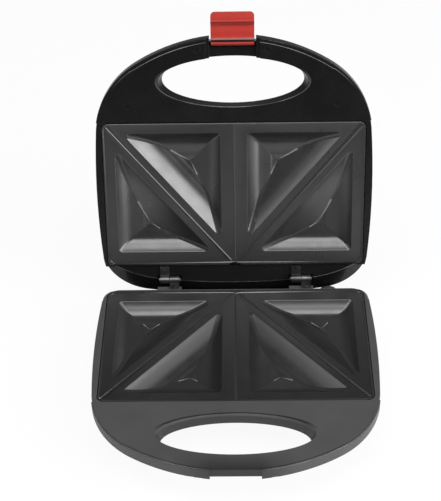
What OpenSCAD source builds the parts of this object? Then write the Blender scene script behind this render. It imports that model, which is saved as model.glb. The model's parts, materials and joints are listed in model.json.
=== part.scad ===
// Electric sandwich toaster with a hinged lid, two cooking plates and a red latch.
// Millimetres. Each half is drawn once in its own half frame: x to the right,
// y from the hinge axis towards the grip, z outwards from the closing plane.
// The base is that half turned over, the lid is that half swung open on the hinge.

/* [Housing] */
// Width of the housing across its bulged sides
body_w = 240; // [234:1:250]
// Radius of the gentle bulge along each side
side_r = 714; // [600:1:1000]
// Distance from the hinge axis to the widest place
bulge_at = 86.6; // [80:0.1:92]
// Reach of the housing behind the hinge axis
rear_reach = 20.5; // [18:0.1:22]
// Radius of the rear edge
rear_r = 700; // [500:1:1000]
// Radius of the two rear corners
rear_corner_r = 42; // [36:1:46]
// Depth of each half, from the closing plane to its outer face
half_depth = 37; // [35:0.5:40]
// Slope of the front under the grip, from the closing plane
slope_a = 47.5; // [45:0.5:56]
// Radius of the edge round the outer face
edge_r = 15; // [10:0.5:17]
// Wall thickness of the mouldings
wall = 2.4; // [2:0.1:2.8]
// Half of the gap that stays between the two rims when the lid is shut
rim_gap = 0.5; // [0.4:0.05:0.8]
// How far the lid opens from shut
open_angle = 108; // [100:1:108]

/* [Grip] */
// Reach of the grip beyond the plates
grip_reach = 75; // [72:0.5:80]
// Radius of the middle of the grip's end
grip_r = 157.5; // [140:0.5:180]
// Radius of the grip's two corners
grip_corner_r = 74; // [68:0.5:78]
// Thickness of each half of the grip
grip_t = 11; // [10:0.5:13]
// Length of the hand hole
hole_l = 125.4; // [110:0.2:130]
// Width of the hand hole
hole_w = 42.6; // [38:0.2:44]
// Distance from the plates to the middle of the hand hole
hole_at = 36.2; // [35:0.1:38]
// Radius of the hand hole's two ends
hole_end_r = 14.4; // [12:0.2:17]

/* [Cooking plates] */
// Width of a plate
plate_w = 226; // [216:1:228]
// Length of a plate, from the hinge side to the grip side
plate_l = 132; // [128:0.5:136]
// Radius of a plate's corners
plate_corner_r = 5; // [3:0.5:8]
// Thickness of the cast plate
plate_t = 2.4; // [2:0.1:3]
// Depth of the triangular pockets below the flat face
pocket_depth = 10.8; // [9:0.1:12]
// Flat margin between a pocket and the side edge
side_margin = 9.8; // [8:0.1:12]
// Flat margin between a pocket and the hinge-side edge
hinge_margin = 12.4; // [10:0.1:14]
// Flat margin between a pocket and the grip-side edge
grip_margin = 9; // [8:0.1:11]
// Flat margin between a pocket and the centre line
centre_margin = 11.2; // [9:0.1:12]
// Flat margin between a pocket and the diagonal
diagonal_margin = 6.8; // [6:0.1:8]
// Height of the cutting ridges above the flat face
ridge_h = 0.8; // [0.5:0.1:1]
// Width of the cutting ridges
ridge_w = 1.8; // [1.4:0.1:2.4]

/* [Hinges] */
// Distance from the hinge axis to the plates
hinge_set = 14; // [13.5:0.1:15]
// Half the distance between the two hinges
hinge_x = 58.7; // [50:0.1:66]
// Diameter of the hinge knuckles
knuckle_d = 7.4; // [6.6:0.1:7.6]
// Diameter of the hinge pins
hinge_pin_d = 3.2; // [2.6:0.1:3.6]
// Width of each hinge leaf
leaf_w = 8.2; // [7:0.1:9]
// Thickness of the hinge leaves
leaf_t = 1.8; // [1.4:0.1:2]

/* [Latch] */
// Width of the latch
latch_w = 36; // [32:0.5:37]
// Length of the latch from its pin to its tip
latch_l = 24.4; // [22:0.1:26]
// Thickness of the latch plate
latch_t = 3; // [2.6:0.1:3.2]
// Diameter of the latch pin
latch_pin_d = 2.4; // [2:0.1:2.6]
// Diameter of the latch's barrel round its pin
barrel_d = 8.4; // [7.4:0.1:8.6]
// Width of the slot in the grip that holds the latch
slot_w = 39.4; // [38.5:0.1:41]

/* [Feet and fasteners] */
// Height of the rubber feet below the base
foot_h = 6.5; // [5:0.5:9]
// Diameter of the rubber feet
foot_d = 15; // [12:0.5:18]
// Diameter of the housing screws
screw_d = 3; // [2.5:0.1:3.5]

/* [Hidden] */
// Running clearance between a pin and its bore, on the radius
run_fit = 0.06;
// Clearance between pieces that are assembled but don't run on each other
seat_gap = 0.3;
// Reveal between a plate and the housing round it
reveal = 0.8;
// Step by which the grip stands proud of the housing's side
grip_step = 0.7;
// Thickness of the grip covers
cover_t = 2.2;
// Depth of the seam between grip cover and housing
seam_z = rim_gap + grip_t - wall;
// Depth of a plate's flat face, behind the cutting ridges
flat_z = rim_gap + ridge_h;
// Depth of the shelf behind the plates that carries the hinge leaves
shelf_z = 3;
// Slope of the bevel behind the lid's shelf, against the closing plane
bevel_a = 36.87;
// Radius of that bevel where it meets the shelf, in the middle and near the corners
bevel_r = 600;
bevel_corner_r = 95;
// Place across the width where the two radii meet
bevel_turn = 68;
// Slope of the base's shoulder behind the lower plate
shoulder_a = 43;
// Play left between the bevel and the base's back wall when the lid is open
stop_play = 0.6;
// Radius of the housing's front edge and corners behind the grip
pod_r = 500;
pod_corner_r = 45;
// Reach of the housing's front wall beyond the plates
pod_reach = 11;
// Small step and turn at which a corner's round takes over from the arcs beside it
blend = 0.03;
cut_turn = 1.5;

// Depth of the ledge that carries a plate, and of the underside of the deck it belongs to
ledge_top = rim_gap + 3.5;
deck_z = ledge_top + 3.7;
// Width of that ledge under the plate's edge
ledge_w = 4;
// Thickness of the ears by which a plate is screwed down
ear_t = 2;
// Length of a plate screw
ear_screw_l = 10;
// Screws of the hinge leaves
hinge_screw_d = 2.6;
hinge_screw_l = 8;

plate_y = hinge_set;
plate_end = plate_y + plate_l;
split_y = plate_end + reveal;
grip_end = plate_end + grip_reach;
pod_end = plate_end + pod_reach;
hole_y = plate_end + hole_at;
slope_y = hole_y - hole_w / 2 - 1.4;
half_w = body_w / 2;
grip_z = rim_gap + grip_t;
pod_floor = half_depth - wall;

// Heating element
heater_d = 6.5;
heater_z = flat_z + pocket_depth + plate_t + seat_gap + heater_d / 2;
heater_y = [plate_y + plate_l / 2 - 31, plate_y + plate_l / 2 + 31];
heater_x = 64;
shield_t = 0.8;
clip_z = 12.3;
cover_screw_l = 9;
block_x = 45;
shield_z = heater_z + heater_d / 2 + 2.6;
shield_w = plate_w - 20;
shield_l = plate_l - 11.5;
shield_corner_r = 24;
shield_y = plate_y + 3.5;
post_d = 7;
post_at = [[78, plate_y + 8.2], [92, plate_y + 107.5]];
ear_x = 68;
ear_y = plate_end + 4.6;
ear_z = rim_gap + 2.5;
cover_screw_at = [[89, plate_end + 16], [29.6, plate_end + 64]];

// Latch
latch_pin_y = grip_end - 4.4;
latch_pin_z = rim_gap + 4.1;
latch_plate_z = latch_pin_z + 3.2;
hook_from = 12.5;
hook_to = 15.4;
hook_h = 2.4;
ledge_z = 7.2;
ledge_y = grip_end - 2;
hook_room_y = latch_pin_y - 0.1;
slot_floor_y = latch_pin_y - barrel_d / 2 - 0.9;
notch_w = slot_w + 1.2;

// Hinge leaves
leaf_x = leaf_w / 2 + 0.25;
leaf_y = hinge_set - 2;
leaf_screw_y = hinge_set - 6;

// Feet, cord inlet and lamps
foot_at = [[82, plate_y + 2], [80, plate_end - 22]];
inlet_x = body_w / 2 - 36;
inlet_z = 24;
lens_d = 7;
lens_x = 11;
lens_y = plate_end - 20;

// Place of the hinge axis: feet on the ground, box centred on the origin
axis_z = half_depth + foot_h;
reach_front = grip_end - grip_r - grip_step + sqrt(pow(grip_r + grip_step, 2) - pow(slot_w / 2 + 0.6, 2));
reach_back = -(latch_pin_y + latch_l) * cos(open_angle) + (latch_plate_z + latch_t) * sin(open_angle);
axis_y = (reach_front - reach_back) / 2;

$fn = 96;

// ---------- Outlines made of tangent arcs ----------

// Where a circle round a meets a circle round b, on the side of growing y for end = 1
function meet(a, ra, b, rb, end) =
    let (gap = norm(b - a), along = (ra * ra - rb * rb + gap * gap) / (2 * gap),
         off = sqrt(ra * ra - along * along), u = (b - a) / gap)
    let (p = a + along * u + off * [-u.y, u.x], q = a + along * u - off * [-u.y, u.x])
    end * p.y > end * q.y ? p : q;

function angle_of(v) = atan2(v.y, v.x);

// The right half of one end: a side arc, a corner arc and an end arc, each [centre, radius, from, to]
function end_arcs(reach, end_r, corner_r, end) =
    let (s = [half_w - side_r, bulge_at], e = [0, reach - end * end_r],
         c = meet(s, side_r - corner_r, e, end_r - corner_r, end),
         turn_s = angle_of(c - s), turn_e = angle_of(c - e))
    [[s, side_r, 0, turn_s], [c, corner_r, turn_s, turn_e], [e, end_r, turn_e, end * 90]];

rear_arcs = end_arcs(-rear_reach, rear_r, rear_corner_r, -1);
grip_outline = concat(end_arcs(grip_end - grip_step, grip_r, grip_corner_r, 1), rear_arcs);
pod_outline = concat(end_arcs(pod_end, pod_r, pod_corner_r, 1), rear_arcs);

// Corners of a clipping polygon: it cuts each rounded corner off along the chord between its tangent points,
// moved a little into the corner, and stands well clear of the outline everywhere else
function clip_points(outline, inset) =
    let (ray = function(i, turn, out) outline[i][0] + (outline[i][1] - inset + out) * [cos(turn), sin(turn)],
         right = [for (i = [1, 4])
                  let (a = outline[i][2], b = outline[i][3], step = i == 1 ? cut_turn : -cut_turn)
                  i == 1 ? [ray(i, b, 80), ray(i, b - step, 0), ray(i, a + step, 0), ray(i, a, 80)]
                         : [ray(i, a, 80), ray(i, a + step, 0), ray(i, b - step, 0), ray(i, b, 80)]],
         half = concat(right[0], right[1]))
    concat(half, [for (i = [7 : -1 : 0]) [-half[i].x, half[i].y]]);

// Round disc between two depths, its edge rounded towards the outer face
module disc(at, r, z0, z1, edge) {
    translate([at.x, at.y, 0]) rotate_extrude($fn = r > 100 ? 720 : 180) {
        translate([0, z0]) square([r - edge, z1 - z0]);
        translate([0, z0]) square([r, z1 - z0 - edge]);
        if (edge > 0) translate([r - edge, z1 - edge]) circle(r = edge, $fn = 64);
    }
}

// Solid block on an outline: where four big discs overlap, with a small disc set into each corner
module block(outline, inset, z0, z1, edge = 0) {
    intersection() {
        disc(outline[0][0], outline[0][1] - inset, z0, z1, edge);
        disc([-outline[0][0].x, outline[0][0].y], outline[0][1] - inset, z0, z1, edge);
        disc(outline[2][0], outline[2][1] - inset, z0, z1, edge);
        disc(outline[5][0], outline[5][1] - inset, z0, z1, edge);
        translate([0, 0, z0 - 1]) linear_extrude(z1 - z0 + 2) polygon(clip_points(outline, inset));
    }
    for (s = [-1, 1], i = [1, 4])
        disc([s * outline[i][0].x, outline[i][0].y], outline[i][1] - inset - blend, z0, z1, edge);
}

// Oval with two round ends and two long arcs that touch them
module oval(length, width, end_r) {
    c = length / 2 - end_r;
    drop = (c * c - pow(width / 2 - end_r, 2)) / (2 * (width / 2 - end_r));
    long_r = width / 2 + drop;
    touch = c * long_r / (long_r - end_r);
    for (s = [-1, 1]) translate([s * c, 0]) circle(r = end_r);
    intersection() {
        translate([0, drop]) circle(r = long_r, $fn = 360);
        translate([0, -drop]) circle(r = long_r, $fn = 360);
        square([2 * touch, width + 2], center = true);
    }
}

// Rectangle with round corners, its near edge at y = 0
module panel(w, l, r, grow = 0) {
    x = w / 2 - r;
    translate([-w / 2 - grow, r]) square([w + 2 * grow, l - 2 * r]);
    translate([-x, -grow]) square([2 * x, l + 2 * grow]);
    for (s = [-1, 1], y = [r, l - r]) translate([s * x, y]) circle(r = r + grow);
}

// Everything on the outer side of a plane through a line along x at [y, z], sloping down behind it
module behind(y, z, slope) {
    translate([-200, y, z]) rotate([-slope, 0, 0]) translate([0, -400, 0]) cube([400, 800, 400]);
}

// ---------- Housings ----------

// Room that the base may fill: a shoulder and a back wall that the open lid's bevel leans on
module base_room(inset = 0) {
    back_a = open_angle - bevel_a;
    rim_y = plate_y - reveal - 0.6;
    corner = [plate_w / 2 - 11, rim_y + 14];
    intersection() {
        behind(rim_y, rim_gap + inset / cos(shoulder_a), shoulder_a);
        behind(0, (stop_play / 2 + inset) / cos(back_a), back_a);
        union() {
            translate([-corner.x, -100, -50]) cube([2 * corner.x, 400, 150]);
            translate([-200, corner.y, -50]) cube([400, 400, 150]);
            for (s = [-1, 1]) translate([s * corner.x, corner.y, rim_gap])
                cylinder(r1 = 14 - inset, r2 = 14 - inset + 50 / tan(shoulder_a), h = 50, $fn = 180);
        }
    }
}

// Solid under a bevel that starts at a circle on the lid's shelf and widens outwards
module bevel_cone(at, r, inset) {
    foot = inset / sin(bevel_a);
    translate([at.x, at.y, shelf_z - 3])
        cylinder(r1 = r - foot - 3 / tan(bevel_a), r2 = r - foot + 60 / tan(bevel_a), h = 63, $fn = 360);
}

// Room that the lid may fill: a shelf for the hinges and a bevel round the back
module lid_room(inset = 0) {
    y = bevel_r - shelf_z / tan(bevel_a) + stop_play / 2;
    turn = [sqrt(bevel_r * bevel_r - bevel_turn * bevel_turn), bevel_turn] / bevel_r;
    corner = [bevel_turn - bevel_corner_r * turn.y, y - (bevel_r - bevel_corner_r) * turn.x];
    translate([-200, plate_y - reveal + inset, -50]) cube([400, 400, 150]);
    intersection() {
        translate([-200, -200, shelf_z + inset]) cube([400, 400, 100]);
        union() {
            intersection() {
                bevel_cone([0, y], bevel_r, inset);
                translate([-bevel_turn, -200, -50]) cube([2 * bevel_turn, 600, 150]);
            }
            for (s = [-1, 1]) intersection() {
                bevel_cone([s * corner.x, corner.y], bevel_corner_r, inset);
                translate([s * (bevel_turn + 60) - 61, -200, -50]) cube([122, 600, 150]);
            }
        }
    }
}

// Everything behind the housing's front slope, which keeps the way through the hand hole clear
module front_slope(inset = 0) {
    translate([-200, slope_y, grip_z]) rotate([-slope_a, 0, 0])
        translate([0, -300, -300 - inset]) cube([400, 600, 300]);
}

// The same box at both hinges, between two places along y and two depths
module at_hinges(w, y, z) {
    for (s = [-1, 1]) translate([s * hinge_x - w / 2, y[0], z[0]]) cube([w, y[1] - y[0], z[1] - z[0]]);
}

// Mirrored positions for screws, posts and feet
module pair(at) {
    for (s = [-1, 1]) translate([s * at.x, at.y, 0]) children();
}

// Opening of the handle, between two depths
module hand_hole(z0, z1, grow = 0) {
    translate([0, hole_y, z0]) linear_extrude(z1 - z0)
        oval(hole_l + 2 * grow, hole_w + 2 * grow, hole_end_r + grow);
}

// Everything in front of the line where the grip starts
module front_of(y, z0, z1) {
    translate([-200, y, z0]) cube([400, 300, z1 - z0]);
}

// Housing of one half without its own slots and holes; the children are its outer and inner room
module housing() {
    difference() {
        union() {
            intersection() {
                union() {
                    intersection() {
                        block(grip_outline, 0, rim_gap, grip_z);
                        translate([-200, -100, 0]) cube([400, split_y + 102, grip_z + 1]);
                    }
                    intersection() {
                        block(pod_outline, 0, grip_z, half_depth, edge_r);
                        front_slope();
                    }
                }
                children(0);
            }
            // Shelf under the grip
            intersection() {
                block(grip_outline, -grip_step, seam_z, grip_z, 1);
                front_of(split_y, seam_z, grip_z);
            }
            at_hinges(2 * leaf_w + 5, [hinge_set - 8, plate_y - reveal], [shelf_z, shelf_z + 9]);
        }
        // Inside of the housing, with bosses for hinges, feet and plate screws left standing
        intersection() {
            block(pod_outline, wall, deck_z, pod_floor, edge_r - wall);
            front_slope(wall);
            children(1);
            difference() {
                translate([-200, -100, 0]) cube([400, 400, 60]);
                at_hinges(2 * leaf_w + 5, [hinge_set - 11, plate_y], [0, shelf_z + hinge_screw_l + 2]);
                for (at = foot_at) pair(at) translate([0, 0, pod_floor - 4]) cylinder(d = 11, h = 10);
                pair([ear_x, ear_y]) cylinder(d = 8, h = ear_z + ear_screw_l + 2);
            }
        }
        // Opening for the plate and the ledge that carries it
        translate([0, plate_y, -1]) linear_extrude(ledge_top + 1)
            panel(plate_w, plate_l, plate_corner_r, reveal);
        translate([0, plate_y, -1]) linear_extrude(deck_z + 2)
            panel(plate_w, plate_l, plate_corner_r, -ledge_w);
        // Room for the grip cover and its skirt
        front_of(split_y, -1, ledge_top);
        difference() {
            front_of(split_y, -1, seam_z);
            block(pod_outline, wall + 0.4, -2, seam_z + 1);
        }
        // Pockets for the plate's ears, and their screws
        pair([ear_x, plate_end]) translate([-8, -6, -1]) cube([16, 15.4, ear_z + ear_t + 1.3]);
        pair([ear_x, ear_y]) translate([0, 0, -1])
            cylinder(d = screw_d + 2 * run_fit, h = ear_z + ear_screw_l + 1.5);
        // Seats of the hinge leaves, hollow round their knuckles, and their screws
        at_hinges(2 * leaf_w + 5, [-4, leaf_y + 0.4], [-2, shelf_z]);
        for (s = [-1, 1]) {
            translate([s * hinge_x, 0, 0]) rotate([0, 90, 0])
                cylinder(d = knuckle_d + 1.2, h = 2 * leaf_w + 5, center = true);
            translate([s * hinge_x + leaf_x, leaf_screw_y, 0])
                cylinder(d = hinge_screw_d + 2 * run_fit, h = shelf_z + hinge_screw_l + 0.4);
        }
        hand_hole(seam_z - 1, grip_z + 1);
    }
}

// ---------- Placing ----------

// A base part from its half frame: turned over, hinge axis at its height above the floor
module in_base() {
    translate([0, axis_y, axis_z]) rotate([180, 0, 0]) children();
}

// A lid part from its half frame: laid on the base, then swung open on the hinge axis
module in_lid() {
    translate([0, axis_y, axis_z]) rotate([-open_angle, 0, 0]) rotate([0, 0, 180]) children();
}

// Direction square to the base's back wall where the cord comes in, pointing outwards
module at_inlet() {
    back_a = open_angle - bevel_a;
    y = -(inlet_z - stop_play / 2 / cos(back_a)) / tan(back_a);
    translate([inlet_x, y, inlet_z]) rotate([180 - back_a, 0, 0]) children();
}

// Countersunk screw with its head's top at the origin, pointing along +z
module screw(l) {
    cylinder(d1 = 2 * screw_d - 0.4, d2 = screw_d, h = 1.5);
    cylinder(d = screw_d, h = l);
}

// Hole for that screw
module screw_hole(l) {
    translate([0, 0, -5]) cylinder(d = 2 * screw_d - 0.4 + 2 * run_fit, h = 5);
    cylinder(d1 = 2 * screw_d - 0.4 + 2 * run_fit, d2 = screw_d + 2 * run_fit, h = 1.5);
    cylinder(d = screw_d + 2 * run_fit, h = l + 0.4);
}

// ---------- Base housing and lid housing ----------

module base_shell() color([0.17, 0.17, 0.18]) in_base() difference() {
    housing() {
        base_room();
        base_room(wall);
    }
    translate([-notch_w / 2, hook_room_y, 0]) cube([notch_w, 20, half_depth]);
    for (at = foot_at) pair(at) translate([0, 0, pod_floor - 5]) cylinder(d = 5 + 2 * run_fit, h = 60);
    for (at = cover_screw_at) pair(at) translate([0, 0, grip_z]) rotate([180, 0, 0])
        screw_hole(cover_screw_l);
    at_inlet() translate([0, 0, -6]) cylinder(d = 11 + 2 * run_fit, h = 12);
    for (x = [-2 : 2]) translate([x * 16 - 1.75, plate_y + 45, pod_floor - 1]) cube([3.5, 40, 5]);
}

module lid_shell() color([0.06, 0.06, 0.065]) in_lid() difference() {
    housing() {
        lid_room();
        lid_room(wall);
    }
    translate([-slot_w / 2, latch_pin_y - 0.5, 0]) cube([slot_w, 30, half_depth]);
    for (at = cover_screw_at) pair(at) translate([0, 0, rim_gap]) screw_hole(cover_screw_l);
    pair([lens_x, lens_y]) translate([0, 0, pod_floor - 1]) cylinder(d = lens_d + 2 * run_fit, h = 60);
}

// ---------- Grip covers ----------

// Hollow D-shaped cover, its face on the closing plane, with a sleeve round the hand hole
module grip_cover() {
    difference() {
        intersection() {
            translate([0, 0, seam_z + rim_gap]) mirror([0, 0, 1])
                block(grip_outline, -grip_step, rim_gap, seam_z, 0.8);
            front_of(split_y + 0.1, rim_gap, seam_z);
        }
        difference() {
            intersection() {
                block(grip_outline, wall - grip_step, rim_gap + cover_t, seam_z + 1);
                front_of(split_y - 1, rim_gap, seam_z + 1);
            }
            hand_hole(0, seam_z + 2, wall);
            for (at = cover_screw_at) pair(at) cylinder(d = 7.6, h = seam_z);
            translate([-slot_w / 2 - 6, hole_y, 0]) cube([slot_w + 12, 100, seam_z + 1]);
        }
        hand_hole(-1, seam_z + 1);
    }
}

// Cover of the base's grip, with the bar that the latch hooks under
module base_grip_cover() color([0.17, 0.17, 0.18]) in_base() difference() {
    grip_cover();
    translate([-notch_w / 2, ledge_y, 0]) cube([notch_w, 20, seam_z + 1]);
    translate([-notch_w / 2, hook_room_y, ledge_z]) cube([notch_w, 20, seam_z]);
    translate([-notch_w / 2, ledge_y - 10, rim_gap]) rotate([-11.3, 0, 0]) translate([0, 0, -5])
        cube([notch_w, 20, 5]);
    for (at = cover_screw_at) pair(at) translate([0, 0, grip_z]) rotate([180, 0, 0])
        screw_hole(cover_screw_l);
}

// Cover of the lid's grip, with the slot and the pin's seats for the latch
module lid_grip_cover() color([0.06, 0.06, 0.065]) in_lid() difference() {
    grip_cover();
    translate([-slot_w / 2, slot_floor_y, 0]) cube([slot_w, 30, seam_z + 1]);
    translate([-slot_w / 2, hole_y, 0]) cube([slot_w, 50, 5.5]);
    translate([-slot_w / 2 - 3, hole_y, 0]) cube([slot_w + 6, 50, rim_gap + 1.1]);
    translate([0, latch_pin_y, latch_pin_z]) rotate([0, 90, 0])
        cylinder(d = latch_pin_d + 2 * run_fit, h = slot_w + 7, center = true);
    for (at = cover_screw_at) pair(at) translate([0, 0, rim_gap]) screw_hole(cover_screw_l);
}

module base_grip_screws() color([0.5, 0.5, 0.52]) in_base()
    for (at = cover_screw_at) pair(at) translate([0, 0, grip_z]) rotate([180, 0, 0]) screw(cover_screw_l);

module lid_grip_screws() color([0.1, 0.1, 0.1]) in_lid()
    for (at = cover_screw_at) pair(at) translate([0, 0, rim_gap]) screw(cover_screw_l);

// ---------- Cooking plates ----------

// The edges of a pocket are [direction of the inward normal, distance from the plate's hinge-side centre]
diagonal_a = atan2(plate_l, plate_w / 2);
outer_pocket = [[90, hinge_margin], [180, side_margin - plate_w / 2], [diagonal_a - 90, diagonal_margin]];
inner_pocket = [[0, centre_margin], [diagonal_a + 90, diagonal_margin], [-90, grip_margin - plate_l]];
// Slopes of a pocket's lip, wall and floor, and the depth each would have at the pocket's edge
pocket_slopes = [[56.3, 0.3], [45, 1.3], [35, 2.44], [26, 3.67], [17, 5.18], [8.2, pocket_depth - 3.8]];

// Where two edges meet after moving both inwards
function corner_of(p, q, inset) =
    [(p[1] + inset) * sin(q[0]) - (q[1] + inset) * sin(p[0]),
     (q[1] + inset) * cos(p[0]) - (p[1] + inset) * cos(q[0])] / sin(q[0] - p[0]);

module rounded_triangle(edges, r) {
    corners = [for (i = [0 : 2]) corner_of(edges[i], edges[(i + 1) % 3], r)];
    for (c = corners) translate(c) circle(r = r);
    polygon([for (i = [0 : 2]) for (j = [i, (i + 1) % 3])
        corners[i] - r * [cos(edges[j][0]), sin(edges[j][0])]]);
}

// Sloping hollow of a pocket, or the same swollen by the plate's thickness
module pocket(edges, grow = 0) {
    lip_a = pocket_slopes[0][0];
    lip_grow = grow > 0 ? grow * (1 / cos(lip_a) - 1) / tan(lip_a) + 0.7 : 0;
    intersection() {
        translate([0, 0, grow > 0 ? flat_z + 0.4 : 0]) linear_extrude(pocket_depth + 8)
            rounded_triangle([for (e = edges) [e[0], e[1] - lip_grow]], 3 + lip_grow);
        intersection_for (e = edges) intersection_for (slope = pocket_slopes)
            translate([e[1] * cos(e[0]), e[1] * sin(e[0]), flat_z + slope[1] + grow / cos(slope[0])])
                rotate([0, 0, e[0]]) rotate([0, -slope[0], 0]) translate([-150, -250, -250])
                    cube([500, 500, 250]);
    }
}

module both_sides() {
    children();
    mirror([1, 0, 0]) children();
}

module cooking_plate() translate([0, plate_y, 0]) difference() {
    union() {
        difference() {
            translate([0, 0, rim_gap]) linear_extrude(ridge_h + plate_t)
                panel(plate_w, plate_l, plate_corner_r);
            translate([0, 2.6, 0]) linear_extrude(flat_z) panel(plate_w - 3.6, plate_l - 4.4, 4);
        }
        // Cutting ridges: one down the middle, two diagonals
        translate([-ridge_w / 2, 5.5, rim_gap]) cube([ridge_w, plate_l - 6, 1.2]);
        both_sides() rotate([0, 0, diagonal_a]) translate([5.5, -ridge_w / 2, rim_gap])
            cube([norm([plate_w / 2, plate_l]) - 10, ridge_w, 1.2]);
        both_sides() {
            pocket(outer_pocket, plate_t);
            pocket(inner_pocket, plate_t);
        }
        // Ears for the screws at the grip, hooks at the hinge side
        translate([0, -plate_y, 0]) pair([ear_x, plate_end]) translate([-6, -5, ear_z]) cube([12, 14, ear_t]);
        pair([40, 0]) translate([-5, 4.3, flat_z + 0.5]) cube([10, 2.5, 9]);
        pair([40, 0]) translate([-5, 1, deck_z + seat_gap]) cube([10, 5.8, 2.3]);
        // Posts for the heat shield, bar for the thermostat or the fuse
        translate([0, -plate_y, 0]) for (at = post_at) pair(at) translate([0, 0, flat_z + 1])
            cylinder(d = post_d, h = shield_z - flat_z - 1);
        translate([-5.5, plate_l / 2 - 17, flat_z + 1]) cube([11, 34, 11 - flat_z]);
    }
    both_sides() {
        pocket(outer_pocket);
        pocket(inner_pocket);
    }
    // Spout for the fat, in the middle of the hinge side
    translate([0, -4.2, 0]) cylinder(r = 7, h = flat_z);
    translate([0, -plate_y, 0]) {
        pair([ear_x, ear_y]) translate([0, 0, ear_z]) screw_hole(ear_screw_l);
        for (at = post_at) pair(at) translate([0, 0, shield_z + shield_t]) rotate([180, 0, 0])
            cylinder(d = screw_d + 2 * run_fit, h = 9);
    }
    for (y = [-1, 1]) translate([0, plate_l / 2 + y * 12.5, 4.4]) cylinder(d = screw_d + 2 * run_fit, h = 20);
}

module lower_plate() color([0.26, 0.26, 0.27]) in_base() cooking_plate();
module upper_plate() color([0.22, 0.22, 0.23]) in_lid() cooking_plate();

// Screws through the plates' ears into the housing's deck
module plate_screws() {
    pair([ear_x, ear_y]) translate([0, 0, ear_z]) screw(ear_screw_l);
}

module lower_plate_screws() color([0.6, 0.6, 0.62]) in_base() plate_screws();
module upper_plate_screws() color([0.6, 0.6, 0.62]) in_lid() plate_screws();

// ---------- Heating elements and heat shields ----------

module heater() {
    bend_r = (heater_y[1] - heater_y[0]) / 2;
    translate([0, 0, heater_z]) {
        for (y = heater_y) translate([-heater_x, y, 0]) rotate([0, 90, 0]) {
            cylinder(d = heater_d, h = 2 * heater_x);
            translate([0, 0, 2 * heater_x]) cylinder(d = heater_d - 1.5, h = 5);
            translate([0, 0, 2 * heater_x]) cylinder(d = 2, h = 13);
        }
        translate([-heater_x, heater_y[0] + bend_r, 0]) rotate([0, 0, 90])
            rotate_extrude(angle = 180) translate([bend_r, 0]) circle(d = heater_d);
    }
}

module lower_heater() color([0.62, 0.6, 0.58]) in_base() heater();
module upper_heater() color([0.62, 0.6, 0.58]) in_lid() heater();

// Shallow pan of sheet metal behind the heating element, with stamped saddles that carry it
module heat_shield() {
    difference() {
        translate([0, shield_y, shield_z - 5]) linear_extrude(5 + shield_t)
            panel(shield_w, shield_l, shield_corner_r);
        translate([0, shield_y + shield_t, shield_z - 6]) linear_extrude(6)
            panel(shield_w - 2 * shield_t, shield_l - 2 * shield_t, shield_corner_r - shield_t);
        for (at = post_at) pair(at) cylinder(d = screw_d + 2 * run_fit, h = 60);
        translate([-8, plate_y + plate_l / 2 - 18, shield_z - 1]) cube([16, 36, 3]);
    }
    for (y = heater_y) for (x = [-45, 45])
        translate([x - 4, y - 4, heater_z + heater_d / 2 + 0.1])
            cube([8, 8, shield_z - heater_z - heater_d / 2]);
}

module lower_shield() color([0.7, 0.7, 0.72]) in_base() heat_shield();
module upper_shield() color([0.7, 0.7, 0.72]) in_lid() heat_shield();

// Pan-head screws, head's underside at z = 0 of the given height, pointing towards the plate
module inner_screw(l) {
    translate([0, 0, -1.8]) cylinder(d = 2 * screw_d - 0.4, h = 1.8);
    cylinder(d = screw_d, h = l);
}

module shield_screws() {
    for (at = post_at) pair(at) translate([0, 0, shield_z + shield_t]) rotate([180, 0, 0]) inner_screw(8);
    for (y = [-1, 1]) translate([0, plate_y + plate_l / 2 + y * 12.5, clip_z + 1]) rotate([180, 0, 0])
        inner_screw(8);
}

module lower_shield_screws() color([0.6, 0.6, 0.62]) in_base() shield_screws();
module upper_shield_screws() color([0.6, 0.6, 0.62]) in_lid() shield_screws();

// Strap that clamps a switch on the bar in the middle of the plate
module strap() {
    translate([-3.5, plate_y + plate_l / 2 - 16, clip_z]) difference() {
        cube([7, 32, 1]);
        for (y = [-1, 1]) translate([3.5, 16 + y * 12.5, -1]) cylinder(d = screw_d + 2 * run_fit, h = 3);
    }
}

module thermostat() color([0.85, 0.83, 0.78]) in_base() {
    strap();
    translate([0, plate_y + plate_l / 2, clip_z]) cylinder(d = 15, h = 7);
    for (s = [-1, 1]) translate([s * 4 - 2.4, plate_y + plate_l / 2 - 0.4, clip_z + 7]) cube([4.8, 0.8, 6]);
}

module thermal_fuse() color([0.85, 0.83, 0.78]) in_lid() {
    strap();
    translate([0, plate_y + plate_l / 2, clip_z + 3]) rotate([90, 0, 0])
        cylinder(d = 5, h = 14, center = true);
    translate([0, plate_y + plate_l / 2, clip_z + 3]) rotate([90, 0, 0])
        cylinder(d = 1.2, h = 18, center = true);
}

// ---------- Wiring parts of the base, feet ----------

module terminal_block() color([0.9, 0.88, 0.82]) in_base()
translate([block_x, plate_y + 18, pod_floor - 8]) difference() {
    cube([30, 16, 8]);
    for (x = [5, 15, 25]) translate([x, 8, -1]) cylinder(d = 4, h = 5);
    for (x = [5, 15, 25]) translate([x, -1, 4.5]) rotate([-90, 0, 0]) cylinder(d = 3, h = 18);
}

module cord_inlet() color([0.05, 0.05, 0.05]) in_base() at_inlet() difference() {
    union() {
        cylinder(d = 14.5, h = 2.6);
        translate([0, 0, -wall - 2]) cylinder(d = 11, h = wall + 3);
        translate([0, 0, -wall - 2.3]) cylinder(d = 14, h = 2.2);
    }
    translate([0, 0, -10]) cylinder(d = 7.2, h = 20);
}

// Rubber foot with a stem that is pressed into the housing
module foot(s, at) {
    translate([s * at.x, at.y, half_depth]) {
        cylinder(d = foot_d, h = foot_h - 1);
        translate([0, 0, foot_h - 1]) cylinder(d1 = foot_d, d2 = foot_d - 2, h = 1);
        translate([0, 0, -wall - 2]) cylinder(d = 5, h = wall + 3);
    }
}

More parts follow.
